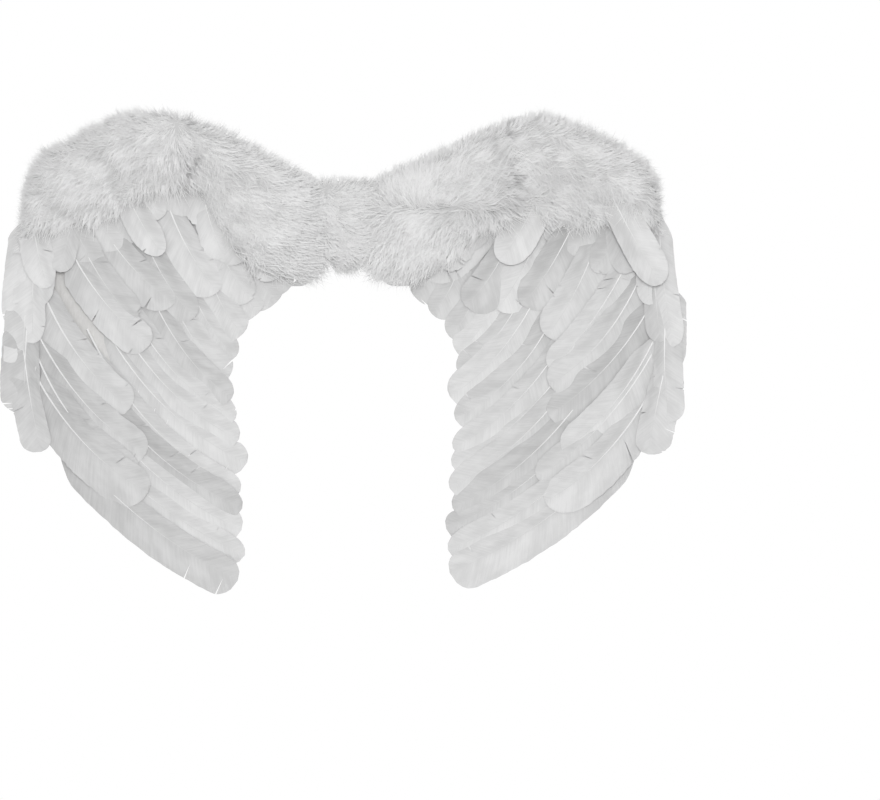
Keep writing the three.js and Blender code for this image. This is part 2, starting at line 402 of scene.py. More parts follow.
def bezier(root, bend, tip, along):
    along = along[..., None]
    return (1 - along) ** 2 * root + 2 * along * (1 - along) * bend + along ** 2 * tip


def bezierSlope(root, bend, tip, along):
    along = along[..., None]
    slope = 2 * (1 - along) * (bend - root) + 2 * along * (tip - bend)
    return slope / np.linalg.norm(slope, axis=-1, keepdims=True)


def softStep(value, low, high):
    share = np.clip((value - low) / (high - low), 0, 1)
    return share * share * (3 - 2 * share)


def vaneWidth(along, feather):
    # half the vane's width in metres, from the bare quill to the round tip
    half = feather["width"] / 2
    tipStart = 1 - feather["bluntness"] * half / feather["length"]
    rise = 0.06 + 0.94 * softStep(along, feather["bare"], feather["bare"] + 0.24)
    belly = 0.9 + 0.1 * softStep(along, 0.2, 0.7)
    past = np.clip((along - tipStart) / (1 - tipStart), 0, 1)
    return half * rise * belly * np.sqrt(np.clip(1 - past ** 2.3, 0, 1))


class FeatherStock:
    # gathers many feathers into one mesh

    def __init__(self):
        self.vertices = []
        self.faces = []
        self.slots = []
        self.barbs = []
        self.shares = []
        self.maps = []
        self.total = 0
        self.cells = 0

    def add(self, vertices, faces, barbs, slot, layout):
        self.vertices.append(vertices)
        self.faces.extend([tuple(corner + self.total for corner in face) for face in faces])
        self.slots.extend([slot] * len(faces))
        self.barbs.append(barbs)
        self.shares.append((layout[:, 1] - 0.04) / 0.92)
        self.maps.append(layout)
        self.total += len(vertices)

    def build(self, name):
        places = np.vstack(self.vertices).tolist()
        mesh = newMesh(name, places, self.faces, finishes["feather"], finishes["quill"])
        mesh.polygons.foreach_set("material_index", self.slots)
        mesh.polygons.foreach_set("use_smooth", [True] * len(self.faces))
        writeValues(mesh, "barb", "FLOAT_VECTOR", np.vstack(self.barbs))
        writeValues(mesh, "share", "FLOAT", np.concatenate(self.shares))
        rows = math.ceil(math.sqrt(self.cells))
        layout = np.vstack(self.maps)
        cell = layout[:, 2]
        places = np.stack(
            [(cell % rows + layout[:, 0]) / rows, (cell // rows + layout[:, 1]) / rows], axis=1
        )
        corners = np.zeros(len(mesh.loops), int)
        mesh.loops.foreach_get("vertex_index", corners)
        plan = mesh.uv_layers.new(name="OFBake")
        plan.data.foreach_set("uv", places[corners].astype(np.float32).ravel())
        mesh.set_sharp_from_angle(angle=math.radians(48))
        return newPiece(name, mesh)


def featherPoint(feather, along, across):
    # a point of the vane: its place in x and z, and how far it lies in front of the pad
    root, bend, tip = feather["root"], feather["bend"], feather["tip"]
    side = feather["side"]
    middle = bezier(root, bend, tip, along)
    slope = bezierSlope(root, bend, tip, along)
    normal = np.stack([-slope[..., 1], slope[..., 0]], axis=-1) * side
    half = vaneWidth(along, feather)
    uneven = feather["uneven"] * (1 - 0.6 * along)
    reach = across * half * (1 + uneven * np.sign(across))
    roll = math.radians(feather["roll"])
    place = middle + normal * (reach * math.cos(roll))[..., None]
    depth = (
        feather["front"]
        + feather["lift"] * along ** 2
        + feather["bow"] * np.sin(along * math.pi)
        + reach * math.sin(roll)
        - feather["camber"] * across ** 2 * (half / (feather["width"] / 2))
        + feather["ripple"] * np.sin(along * feather["waves"] + feather["phase"] + across * 1.3)
        * np.abs(across) ** 1.5
    )
    return place, depth


def addFeather(stock, feather, random):
    rows, columns = feather["rows"], feather["columns"]
    steps = 1 - (1 - np.linspace(0, 1, rows + 1)) ** 1.25
    acrosses = np.arange(-columns, columns + 1) / columns
    slant = 0.5 * feather["width"] / feather["length"]
    along = steps[:, None] + slant * np.abs(acrosses)[None, :] * (1 - steps[:, None]) * 0.9
    across = np.broadcast_to(acrosses, along.shape).copy()
    fray = random.normal(0, feather["fray"], along.shape) * (np.abs(across) > 0.99)
    across = across * (1 + fray)

    # a split parts the barbs from its apex out to the edge
    splits = {}
    for sign in (-1, 1):
        for _ in range(random.poisson(feather["splits"])):
            row = int(random.integers(int(rows * 0.25), rows - 1))
            apex = int(random.integers(1, columns)) * sign
            gap = random.uniform(0.3, 1.0) * feather["gap"] / feather["length"]
            splits[(row, sign)] = (abs(apex), gap)

    # copy 0 is the lip before a split and copy 1 the lip after it
    shifted = {0: along.copy(), 1: along.copy()}
    for (row, sign), (apex, gap) in splits.items():
        for column in range(apex + 1, columns + 1):
            opening = gap * (column - apex) / (columns - apex)
            place = columns + sign * column
            for spread in range(0, 4):
                moved = opening * (1 - spread / 4)
                if row - spread > 0:
                    shifted[0][row - spread, place] -= moved
                    if spread:
                        shifted[1][row - spread, place] -= moved
                if row + spread < rows:
                    shifted[1][row + spread, place] += moved
                    if spread:
                        shifted[0][row + spread, place] += moved

    points, index = [], {}

    def vertex(row, place, copy):
        column = abs(place - columns)
        sign = 1 if place > columns else -1
        split = splits.get((row, sign))
        parted = split is not None and column > split[0]
        key = (row, place, copy if parted else 0)
        if key not in index:
            index[key] = len(points)
            source = shifted[copy] if parted else shifted[0]
            points.append((np.clip(source[row, place], 0, 1), across[row, place]))
        return index[key]

    faces = []
    for row in range(rows):
        for place in range(2 * columns):
            corners = (
                vertex(row, place, 1), vertex(row, place + 1, 1),
                vertex(row + 1, place + 1, 0), vertex(row + 1, place, 0),
            )
            faces.append(corners if feather["side"] > 0 else corners[::-1])
    points = np.array(points)
    place, depth = featherPoint(feather, points[:, 0], points[:, 1])
    front = np.stack([place[:, 0], -depth, place[:, 1]], axis=1)
    half = vaneWidth(points[:, 0], feather)
    seed = np.full(len(points), random.uniform(feather["darkest"], 1))
    slanted = points[:, 0] * feather["length"] / mm - np.abs(points[:, 1]) * half / mm * 0.9
    barbs = np.stack([slanted, points[:, 1] * half / mm, seed], axis=1)
    cell = np.full(len(points), stock.cells)
    layout = np.stack([0.5 + points[:, 1] * 0.42, 0.04 + points[:, 0] * 0.92, cell], axis=1)
    solid = np.vstack([front, front + np.array([0, feather["thickness"], 0])])
    shell = shellFaces(faces, len(front))
    stock.add(solid, shell, np.vstack([barbs, barbs]), 0, np.vstack([layout, layout]))
    addShaft(stock, feather, seed[0])
    stock.cells += 1


def addShaft(stock, feather, seed):
    # the quill and the shaft, a closed tapered tube along the vane's middle
    sidesRound, length = 6, feather["length"]
    steps = np.linspace(0, 0.97, max(8, feather["rows"] // 2))
    place, fronts = featherPoint(feather, steps, steps * 0)
    slope = bezierSlope(feather["root"], feather["bend"], feather["tip"], steps)
    radius = feather["shaft"] * (1 - steps) ** 1.15 + 0.00012
    vertices, barbs, layout = [], [], []
    for step, (point, front, away, reach) in enumerate(zip(place, fronts, slope, radius)):
        normal = np.array([-away[1], away[0]])
        for turn in range(sidesRound):
            angle = 2 * math.pi * turn / sidesRound
            flat = point + normal * reach * math.cos(angle)
            depth = front - feather["thickness"] / 2 + reach * math.sin(angle)
            vertices.append((flat[0], -depth, flat[1]))
            barbs.append((steps[step] * length / mm, turn, seed))
            layout.append((0.5 + 0.02 * math.cos(angle), 0.04 + steps[step] * 0.92, stock.cells))
    faces = ringFaces(len(steps), sidesRound)
    stock.add(np.array(vertices), faces, np.array(barbs), 1, np.array(layout))


def makeRow(stock, side, row, random):
    # one row of feathers, shingled from the fold out
    roots = wingLine(side, row["roots"], row["count"])
    tips = wingLine(side, row["tips"], row["count"])
    for order, (root, tip) in enumerate(zip(roots, tips)):
        makeFeather(stock, side, row, root, tip, order / (row["count"] - 1), random)


def makeFeather(stock, side, row, root, tip, last, random):
    root = root + random.normal(0, row["scatter"], 2)
    tip = tip + random.normal(0, row["scatter"], 2)
    curve = np.array(row["bend"]) * (1 - last) + np.array(row["lastBend"]) * last
    feather = row | {
        "side": side, "root": root, "tip": tip,
        "bend": root + (tip - root) * curve + random.normal(0, 0.003, 2),
        "length": float(np.linalg.norm(tip - root)),
        "front": row["front"] + random.uniform(-0.0004, 0.0004),
        "waves": random.uniform(9, 20), "phase": random.uniform(0, 6.3),
    }
    for name, low, high in (
        ("width", 0.84, 1.14), ("lift", 0.3, 1.4), ("bow", 0.5, 1.4), ("roll", 0.7, 1.3),
        ("camber", 0.5, 1.5), ("ripple", 0.4, 1.4), ("bluntness", 0.8, 2.0),
    ):
        feather[name] = row[name] * random.uniform(low, high)
    addFeather(stock, feather, random)


longFeather = {
    "width": 0.037, "lift": 0.001, "bow": 0.001, "roll": -2.6, "camber": 0.0012, "ripple": 0.0005,
    "bluntness": 1.0, "bare": 0.05, "fray": 0.012, "splits": 1.4, "gap": 0.0012, "rows": 40,
    "columns": 6, "thickness": 0.0003, "shaft": 0.00095, "scatter": 0.0028, "bend": (0.24, 0.74),
    "lastBend": (0.4, 0.68), "uneven": 0.38, "darkest": 0.0,
}

flightRow = longFeather | {
    "count": 15, "front": 0.0160,
    "roots": [(0.13, 0.02), (0.28, 0.045), (0.42, 0.03), (0.54, -0.005), (0.62, -0.06), (0.68, -0.13),
              (0.715, -0.21), (0.74, -0.27), (0.78, -0.32), (0.83, -0.36), (0.88, -0.39)],
    "tips": [(0.045, -0.122), (0.115, -0.165), (0.18, -0.207), (0.222, -0.257), (0.237, -0.312),
             (0.23, -0.372), (0.222, -0.437), (0.213, -0.505), (0.208, -0.575), (0.203, -0.65),
             (0.205, -0.722)],
}

covertRow = longFeather | {
    "count": 11, "front": 0.0194, "lift": -0.0012, "scatter": 0.0085, "bend": (0.32, 0.62), "width": 0.040,
    "roots": [(0.36, 0.06), (0.52, 0.09), (0.66, 0.08), (0.77, 0.05), (0.85, 0), (0.89, -0.08),
              (0.91, -0.17), (0.91, -0.25), (0.9, -0.32)],
    "tips": [(0.16, -0.13), (0.3, -0.15), (0.42, -0.165), (0.51, -0.19), (0.565, -0.26), (0.585, -0.34),
             (0.575, -0.42), (0.55, -0.5), (0.52, -0.585)],
}

bodyRow = longFeather | {
    "count": 10, "front": 0.0214, "scatter": 0.004, "bend": (0.35, 0.6), "width": 0.033,
    "lift": -0.0008, "fray": 0.035, "splits": 1.2, "rows": 26, "bluntness": 1.25, "uneven": 0.12,
    "shaft": 0.0006, "bare": 0.02,
    "roots": [(0.19, 0.05), (0.34, 0.11), (0.5, 0.15), (0.64, 0.14), (0.78, 0.11), (0.88, 0.05)],
    "tips": [(0.12, -0.105), (0.24, -0.07), (0.38, 0.015), (0.5, 0.005), (0.63, -0.06), (0.76, -0.1)],
}

edgeRow = longFeather | {
    "count": 6, "front": 0.0215, "width": 0.034, "bend": (0.5, 0.45), "lastBend": (0.4, 0.5),
    "roll": 2.0, "rows": 30,
    "roots": [(0.74, 0.11), (0.82, 0.08), (0.875, 0.02), (0.9, -0.06), (0.92, -0.16), (0.93, -0.25)],
    "tips": [(0.8, -0.1), (0.87, -0.16), (0.908, -0.245), (0.918, -0.33), (0.9, -0.41), (0.87, -0.465)],
}

looseFeathers = {  # single feathers that lie over the others
    "left": [((0.9, 0.02), (0.85, -0.13), 0.0235, -0.0008, 0.036),
             ((0.6, 0.09), (0.47, -0.06), 0.0228, -0.0008, 0.034),
             ((0.912, 0.03), (0.945, -0.215), 0.0230, -0.0008, 0.032)],
    "right": [((0.722, 0.085), (0.907, -0.122), 0.0318, -0.0075, 0.034),
              ((0.52, 0.09), (0.375, -0.075), 0.0232, -0.0008, 0.040),
              ((0.9, 0.045), (0.95, -0.25), 0.0236, -0.0008, 0.028)],
}

rows = {"flight": flightRow, "covert": covertRow, "body": bodyRow, "edge": edgeRow}


def makeFeathers():
    made = {}
    for sideIndex, (sideName, side) in enumerate(sides.items()):
        for rowIndex, (rowName, row) in enumerate(rows.items()):
            random = np.random.default_rng(100 * sideIndex + 10 * rowIndex + 7)
            stock = FeatherStock()
            makeRow(stock, side, row, random)
            if rowName == "body":
                for root, tip, front, lift, width in looseFeathers[sideName]:
                    loose = row | {
                        "count": 1, "front": front, "lift": lift, "width": width, "scatter": 0.0,
                        "splits": 0.4, "bend": (0.35, 0.5), "fray": 0.012, "roll": 2.0,
                        "bluntness": 1.1, "darkest": 0.85,
                    }
                    ends = spot(side, *root), spot(side, *tip)
                    makeFeather(stock, side, loose, *ends, 0.0, random)
            made[(sideName, rowName)] = stock.build(f"{sideName}_{rowName}_feathers")
    return made


featherPieces = makeFeathers()
print("stage: long feathers made")


def filledOutline(outline, spacing):
    # points and triangles that fill a flat outline
    outline = np.asarray(outline)
    low, high = outline.min(axis=0), outline.max(axis=0)
    grid = []
    for row, z in enumerate(np.arange(low[1], high[1], spacing * 0.87)):
        for x in np.arange(low[0] + (row % 2) * spacing / 2, high[0], spacing):
            grid.append((x, z))
    grid = np.array(grid)
    near, inside = edgeDistance(outline, grid)
    grid = grid[inside & (near > spacing * 0.55)]
    points = [Vector(point) for point in np.vstack([outline, grid])]
    count = len(outline)
    edges = [(index, (index + 1) % count) for index in range(count)]
    places, _, faces = delaunay_2d_cdt(points, edges, [], 1, 1e-6)[:3]
    return np.array([tuple(place) for place in places]), [tuple(face) for face in faces]


def edgeDistance(outline, points):
    # distance of each point from a closed outline, and whether it lies inside
    here, there = outline, np.roll(outline, -1, axis=0)
    run = there - here
    offset = points[:, None, :] - here[None]
    share = np.clip((offset * run).sum(-1) / np.maximum((run * run).sum(-1), 1e-12), 0, 1)
    near = np.linalg.norm(offset - share[..., None] * run, axis=-1).min(axis=1)
    z, x = points[:, 1][:, None], points[:, 0][:, None]
    crosses = (here[:, 1] > z) != (there[:, 1] > z)
    slope = np.where(run[:, 1] == 0, 1e-12, run[:, 1])
    meets = here[:, 0] + (z - here[:, 1]) / slope * run[:, 0]
    inside = (crosses & (x < meets)).sum(axis=1) % 2 == 1
    return near, inside


def solidSheet(name, outline, spacing, frontOf, backOf, material):
    # a closed sheet in front of the pad: frontOf and backOf give each point's distance
    places, faces = filledOutline(outline, spacing)
    near = edgeDistance(np.asarray(outline), places)[0]
    front, back = frontOf(places, near), backOf(places, near)
    vertices = [(x, -depth, z) for (x, z), depth in zip(places, front)]
    vertices += [(x, -depth, z) for (x, z), depth in zip(places, back)]
    solid = shellFaces(faces, len(places))
    mesh = outwards(newMesh(name, vertices, solid, material), crease=60)
    return newPiece(name, mesh)


downLook = {
    "rear": 0.0218,  # the dome's flat rear, in front of the pad
    "height": 0.0104,
    "rounding": 0.022,
    "lowerRounding": 0.050,  # the down thins out more slowly along the bottom
    "lobes": 0.0050,
    "spacing": 0.0045,
    "tufts": 122000.0,  # per square metre
    "strands": 8,
    "length": 0.024,
    "edgeLength": 0.45,  # the tufts' length along the top, as a share of the full one
    "shortZone": (0.002, 0.022),  # how far from the top they stay shorter
    "fringe": 1.3,  # how strongly the down turns outwards along the top
    "fan": 0.42,
    "shades": 6,  # kinds of tuft, from the darkest to the palest
    "rimPaintedLight": 0.5,  # painted light: how much paler the border is, where light shines through the fringe
    "rimWidth": 0.014,
    "bridgePaintedLight": 0.8,  # painted light: how much paler the middle is, which the wings' down shades
    "bridgeZone": (0.050, 0.115),
    "frontal": 2.2,  # how far the barbs' flat sides turn to the front
    "lift": 0.06,
    "clump": 1.7,
    "wave": 0.003,
    "clumpScale": 42.0,
    "patchScale": 70.0,
    "waveScale": 85.0,
    "rootSpread": 0.0022,
    "arch": (0.05, 0.14),  # of a barb, as a share of its length
    "halfWidth": (0.00026, 0.00042),
}


def tuftMesh(name, seed):
    # a fan of flat barbs from one root, growing along +Y with +Z outwards
    look, random = downLook, np.random.default_rng(seed)
    vertices, faces, tips, tones, places = [], [], [], [], []
    shade = seed / (look["shades"] - 1)
    sway = random.normal(0, 0.4)
    for strand in range(look["strands"]):
        fan = (strand + 0.5) / look["strands"] * 2 - 1
        across = fan * look["rootSpread"] + random.normal(0, 0.0006)
        base = np.array([across, random.normal(0, 0.0018), -0.0004])
        length = look["length"] * random.uniform(0.75, 1.1) * (1 - 0.25 * fan ** 2)
        aim = fan * look["fan"] + random.normal(0, 0.10)
        turn = sway - fan * 0.35 + random.normal(0, 0.15)
        arch = random.uniform(*look["arch"])
        half = random.uniform(*look["halfWidth"])
        tone = 0.75 * shade + random.uniform(0, 0.25)
        first = len(vertices)
        for step, share in enumerate((0, 0.5, 1)):
            heading = aim + turn * share
            out = length * share
            centre = base + np.array([
                out * math.sin(heading), out * math.cos(heading),
                length * arch * math.sin(math.pi * 0.75 * share),
            ])
            across = np.array([math.cos(heading), -math.sin(heading), 0])
            reach = half * (1, 0.9, 0)[step]
            if share == 1:
                vertices.append(tuple(centre))
            else:
                vertices += [
                    tuple(centre - across * reach), tuple(centre + across * reach),
                    tuple(centre + np.array([0, 0, -0.35 * reach])),
                ]
            tips += [share] * (1 if share == 1 else 3)
            tones += [tone] * (1 if share == 1 else 3)
            places += [(strand + 0.2 + corner * 0.2, share) for corner in range(1 if share == 1 else 3)]
        for corner in range(3):
            low, high = first + corner, first + (corner + 1) % 3
            faces.append((low + 3, high + 3, high, low))
            faces.append((first + 6, high + 3, low + 3))
        faces.append((first, first + 1, first + 2))
    mesh = newMesh(name, vertices, faces)
    writeValues(mesh, "tip", "FLOAT", tips)
    writeValues(mesh, "tone", "FLOAT", tones)
    plan = mesh.uv_layers.new(name="OFBake")
    columns = look["strands"] * look["shades"]
    for loop in mesh.loops:
        strand, along = places[loop.vertex_index]
        column = (strand + look["strands"] * seed) / columns
        plan.data[loop.index].uv = (column, 0.02 + along * 0.96)
    return bpy.data.objects.new(name, outwards(mesh, smooth=False))


tuftShapes = bpy.data.collections.new("tufts")
for seed in range(downLook["shades"]):
    tuftShapes.objects.link(tuftMesh(f"tuft_{seed}", seed))


def newTree(name, inputs, result):
    tree = bpy.data.node_groups.new(name, "GeometryNodeTree")
    sockets = {}
    for label, kind in inputs.items():
        new = tree.interface.new_socket(label, in_out="INPUT", socket_type=f"NodeSocket{kind}")
        sockets[label] = new.identifier
    tree.interface.new_socket(result, in_out="OUTPUT", socket_type="NodeSocketGeometry")
    entry = tree.nodes.new("NodeGroupInput")
    given = {label: Flow(tree, entry.outputs[label]) for label in sockets}
    return Flow(tree), sockets, given


def named(start, name, kind="FLOAT"):
    return start.node("GeometryNodeInputNamedAttribute", {"data_type": kind}, {"Name": name})


def chance(start, low, high, seed):
    return start.node(
        "FunctionNodeRandomValue", {"data_type": "FLOAT"}, {2: low, 3: high, "Seed": seed}, output=1
    )


def facingBoth(start, firstAxis, first, second):
    # turned with one axis along first, and Z as near to second as that leaves it
    turned = start.node("FunctionNodeAlignRotationToVector", {"axis": firstAxis}, {"Vector": first})
    return start.node(
        "FunctionNodeAlignRotationToVector", {"axis": "Z", "pivot_axis": firstAxis},
        {"Rotation": turned, "Vector": second},
    )


def vectorNode(start, operation, first, second=(0, 0, 0), scale=None):
    inputs = {0: first, 1: second} if scale is None else {0: first, "Scale": scale}
    return start.node("ShaderNodeVectorMath", {"operation": operation}, inputs)


def centredNoise(start, scale, detail):
    place = start.node("GeometryNodeInputPosition")
    return vectorNode(start, "SUBTRACT", place.noise(scale, detail, 0.5, output=1), (0.5, 0.5, 0.5))


def finishTree(start, geometry, material, result):
    done = start.node("GeometryNodeSetMaterial", None, {"Geometry": geometry, "Material": material})
    start.node("NodeGroupOutput", None, {result: done})


def growTree():
    # scatters tufts over a surface, combed along its flow attribute
    start, sockets, given = newTree(
        "grow_tufts",
        {
            "Surface": "Geometry", "Density": "Float", "Where": "String", "Seed": "Int",
            "Length": "Float", "Lift": "Float", "Clump": "Float", "Wave": "Float", "Shade": "Float",
        },
        "Tufts",
    )
    points = start.node(
        "GeometryNodeDistributePointsOnFaces", None,
        {
            "Mesh": given["Surface"], "Density": named(start, given["Where"]) * given["Density"],
            "Seed": given["Seed"],
        },
        output="Points",
    )
    normal = Flow(start.tree, points.socket.node.outputs["Normal"])
    swirl = vectorNode(start, "SCALE", centredNoise(start, downLook["clumpScale"], 1.5), scale=given["Clump"])
    swirl = vectorNode(start, "SUBTRACT", swirl, vectorNode(start, "PROJECT", swirl, normal))
    aim = vectorNode(start, "ADD", named(start, "flow", "FLOAT_VECTOR"), swirl)
    aim = vectorNode(start, "NORMALIZE", aim)
    aim = vectorNode(start, "ADD", aim, vectorNode(start, "SCALE", normal, scale=given["Lift"]))
    facing = facingBoth(start, "Y", aim, normal.stretch((1, downLook["frontal"], 1)))
    shapes = start.node(
        "GeometryNodeCollectionInfo", None,
        {"Collection": tuftShapes, "Separate Children": True, "Reset Children": True},
    )
    last = downLook["shades"] - 1.0
    # painted shade: patches of darker and paler tufts stand in for the shading of the down's clumps and
    # creases, and the shade attribute adds the painted light of the border and the middle
    patch = start.node("GeometryNodeInputPosition").noise(downLook["patchScale"], 3.0, 0.5)
    patch = patch.between(0.25, 0.7)
    shade = patch + chance(start, -0.4, 0.4, 9) + named(start, "shade") + given["Shade"]
    choice = start.node("FunctionNodeFloatToInt", {"rounding_mode": "ROUND"}, {0: shade * last})
    choice = start.math("MINIMUM", start.math("MAXIMUM", choice, 0.0), last)
    grown = start.node(
        "GeometryNodeInstanceOnPoints", None,
        {
            "Points": points, "Instance": shapes, "Pick Instance": True, "Instance Index": choice,
            "Rotation": facing, "Scale": chance(start, 0.7, 1.25, 5) * named(start, "long") * given["Length"],
        },
    )
    grown = start.node("GeometryNodeRealizeInstances", None, {"Geometry": grown})
    tip = named(start, "tip")
    drift = centredNoise(start, downLook["waveScale"], 1.0)
    offset = vectorNode(start, "SCALE", drift, scale=tip * tip * given["Wave"])
    grown = start.node("GeometryNodeSetPosition", None, {"Geometry": grown, "Offset": offset})
    finishTree(start, grown, finishes["down"], "Tufts")
    return start.tree, sockets


growing, growInputs = growTree()


def grow(name, base, where, seed, **changes):
    values = {
        "Density": downLook["tufts"], "Where": where, "Seed": seed, "Length": 1.0,
        "Lift": downLook["lift"], "Clump": downLook["clump"], "Wave": downLook["wave"],
        "Shade": 0.0,
    } | changes
    modifier = base.modifiers.new("grow", "NODES")
    modifier.node_group = growing
    for key, value in values.items():
        modifier[growInputs[key]] = value
    mesh = frozenMesh(base)
    base.modifiers.remove(modifier)
    mesh.name = name
    mesh.calc_loop_triangles()
    print(name, len(mesh.loop_triangles), "triangles")
    return newPiece(name, mesh)


def combed(piece, flowOf, outline, upper, weights):
    # writes the combing direction, the tufts' length, the painted light that makes the border and the middle
    # paler, and where they grow
    mesh, places = piece.data, meshPlaces(piece)
    flat = places[:, [0, 2]]
    look, flow = downLook, flowOf(flat)
    gaps = np.linalg.norm(flat[:, None] - upper[None], axis=-1)
    away, nearest = gaps.min(axis=1), upper[gaps.argmin(axis=1)]
    outward = nearest - flat + np.array([0, 0.003])
    outward /= np.linalg.norm(outward, axis=1, keepdims=True)
    turned = 1 - softStep(away, 0.0, look["rimWidth"])
    flow = flow + look["fringe"] * outward * turned[:, None]
    vectors = np.stack([flow[:, 0], np.zeros(len(flow)), flow[:, 1]], axis=1)
    writeValues(mesh, "flow", "FLOAT_VECTOR", vectors)
    shortest = look["edgeLength"]
    writeValues(mesh, "long", "FLOAT", shortest + (1 - shortest) * softStep(away, *look["shortZone"]))
    near = edgeDistance(np.asarray(outline), flat)[0]
    # painted light: the border's tufts are painted paler, against the shade of facing away from the front
    # light
    shade = look["rimPaintedLight"] * (1 - softStep(near, 0.0, look["rimWidth"]))
    # painted light: the middle is painted paler, against the shade the wings' down casts on it
    shade += look["bridgePaintedLight"] * (1 - softStep(np.abs(places[:, 0]), *look["bridgeZone"]))
    writeValues(mesh, "shade", "FLOAT", shade)
    hidden = rearInland(places, places[:, 1].max())
    for name, weightOf in weights.items():
        writeValues(mesh, name, "FLOAT", weightOf(places) * np.where(hidden, 0.0, 1.0))


def rearInland(places, rear):
    # the middle of the flat rear, which nothing shows
    flat = places[:, 1] > rear - 0.0004
    front = places[~flat]
    low = np.full(len(places), False)
    depth = {(round(x, 5), round(z, 5)): y for x, y, z in front}
    for index, (x, y, z) in enumerate(places):
        if flat[index]:
            low[index] = depth.get((round(x, 5), round(z, 5)), rear) < rear - 0.0085
    return low


bridgeDownLook = {
    "reach": 0.034,
    "top": 0.042,
    "lowerEdge": [(0.034, -0.030), (0.012, -0.033), (-0.012, -0.033), (-0.034, -0.031)],
    "rear": 0.0148,  # in front of the pad
    "lower": 0.001,  # how much lower than the wings' down
    "length": 0.75,  # of the wings' tufts
    "tasselReach": 0.007,
    "tasselTop": -0.028,
    "tassel": {"Density": 250000.0, "Length": 0.6, "Lift": -0.05, "Clump": 0.5, "Shade": -1.6},
}
downEdges = {  # shares of the wing's width and height, along the top and along the bottom
    "left": (
        [(0, 0.102), (0.15, 0.152), (0.31, 0.202), (0.47, 0.228), (0.6, 0.226), (0.75, 0.18), (0.86, 0.145),
         (0.905, 0.09), (0.925, 0.02), (0.935, -0.06)],
        [(0.935, -0.06), (0.87, 0), (0.78, 0.015), (0.66, 0.025), (0.56, 0.06), (0.45, 0.095), (0.36, 0.08),
         (0.28, 0.005), (0.2, -0.055), (0.1, -0.085), (0.02, -0.088)],
    ),
    "right": (
        [(0, 0.102), (0.18, 0.15), (0.33, 0.195), (0.5, 0.224), (0.62, 0.204), (0.75, 0.168), (0.85, 0.125),
         (0.89, 0.07), (0.905, 0), (0.91, -0.06)],
        [(0.91, -0.06), (0.86, 0.005), (0.78, 0.03), (0.66, 0.025), (0.54, 0.03), (0.44, 0.04), (0.34, 0),
         (0.25, -0.05), (0.14, -0.09), (0.03, -0.09)],
    ),
}


def wingDownOutline(sideName):
    side = sides[sideName]
    top, low = [[spot(side, across, up) for across, up in line] for line in downEdges[sideName]]
    upper = smoothLine([np.array([side * 0.031, 0.042])] + top, 60)
    lower = smoothLine(low + [np.array([side * 0.031, -0.039])], 70)
    ragged = np.array([noise.noise(Vector((x * 70, z * 70, 9.0))) for x, z in lower])
    fade = np.minimum(1, np.minimum(np.arange(70), np.arange(70)[::-1]) / 8)
    lower = lower + np.array([0, 0.008]) * (ragged * fade)[:, None]
    outline = np.vstack([upper[:-1], lower])
    return (outline if side > 0 else outline[::-1]), upper


def domeHeight(places, near, side, upper):
    look = downLook
    away = np.linalg.norm(places[:, None, :] - upper[None], axis=-1).min(axis=1)
    slower = softStep(away, 0.018, 0.050) * (look["lowerRounding"] - look["rounding"])
    share = np.clip(near / (look["rounding"] + slower), 0, 1)
    dome = look["height"] * np.sqrt(np.clip(1 - (1 - share) ** 2, 0, 1))
    inner = softStep(np.abs(places[:, 0]), 0.030, 0.075)
    lobes = np.array([
        noise.noise(Vector((x * 38 + side * 7, z * 46, 3.1))) for x, z in places
    ])
    return look["rear"] + 0.0006 + dome * (0.72 + 0.28 * inner) + look["lobes"] * lobes * share


def leftFlow(places):
    # parted below the peak: out and along the edge to the left, down to the right
    away = places - np.array([-0.160, 0.098])
    angle = np.arctan2(away[:, 1], away[:, 0])
    comb = np.stack([np.cos(angle), np.sin(angle)], axis=1)
    comb[:, 0] += np.where(away[:, 0] < 0, -0.5, 0.35)
    return comb + np.array([0.0, -0.2])


def rightFlow(places):
    arm = places - np.array([0.170, -0.070])
    arm = arm / np.maximum(np.linalg.norm(arm, axis=1, keepdims=True), 1e-4)
    around = np.stack([arm[:, 1], -arm[:, 0]], axis=1)
    lower = softStep(-places[:, 1], -0.05, 0.02)[:, None]
    flow = around * (1 - lower) + lower * np.array([-0.8, -0.6])
    return flow / np.maximum(np.linalg.norm(flow, axis=1, keepdims=True), 0.25)


def bridgeFlow(places):
    down = softStep(-places[:, 1], 0.020, 0.030) * (1 - softStep(np.abs(places[:, 0]), 0.006, 0.014))
    across = np.sin(places[:, 0] * 55 + 0.8) + 0.4
    return np.stack([across * (1 - down), -0.35 - down], axis=1)


flows = {"left": leftFlow, "right": rightFlow}


